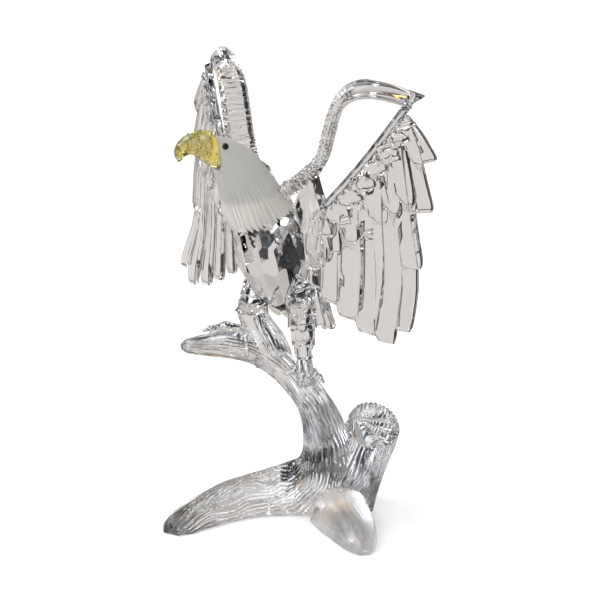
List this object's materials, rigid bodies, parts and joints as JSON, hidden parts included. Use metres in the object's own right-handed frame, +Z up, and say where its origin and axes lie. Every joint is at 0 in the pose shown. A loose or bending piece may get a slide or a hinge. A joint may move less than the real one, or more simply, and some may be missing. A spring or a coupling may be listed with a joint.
{
  "type": "crystal eagle figurine",
  "caption": "Clear crystal eagle with raised wings, a frosted head and an amber beak, perched on a driftwood stand of the same crystal.",
  "frame": {"origin": "bottom centre of the whole figurine's box, on the surface it stands on", "axes": "+Z up, the eagle looks along -Y, +X to the eagle's left wing"},
  "size_m": [0.1094, 0.073, 0.1528],
  "materials": {
    "clear_crystal": "polished clear lead-free crystal",
    "frosted_crystal": "satin-frosted crystal",
    "amber_crystal": "polished amber-coloured crystal",
    "jet_crystal": "polished black glass"
  },
  "bodies": {
    "root": {"body": "clear_crystal", "head": "frosted_crystal", "beak": "amber_crystal", "eye_left": "jet_crystal", "eye_right": "jet_crystal", "wing_left": "clear_crystal", "wing_right": "clear_crystal", "tail": "clear_crystal", "thigh_left": "clear_crystal", "thigh_right": "clear_crystal", "stand": "clear_crystal"}
  },
  "joints": []
}
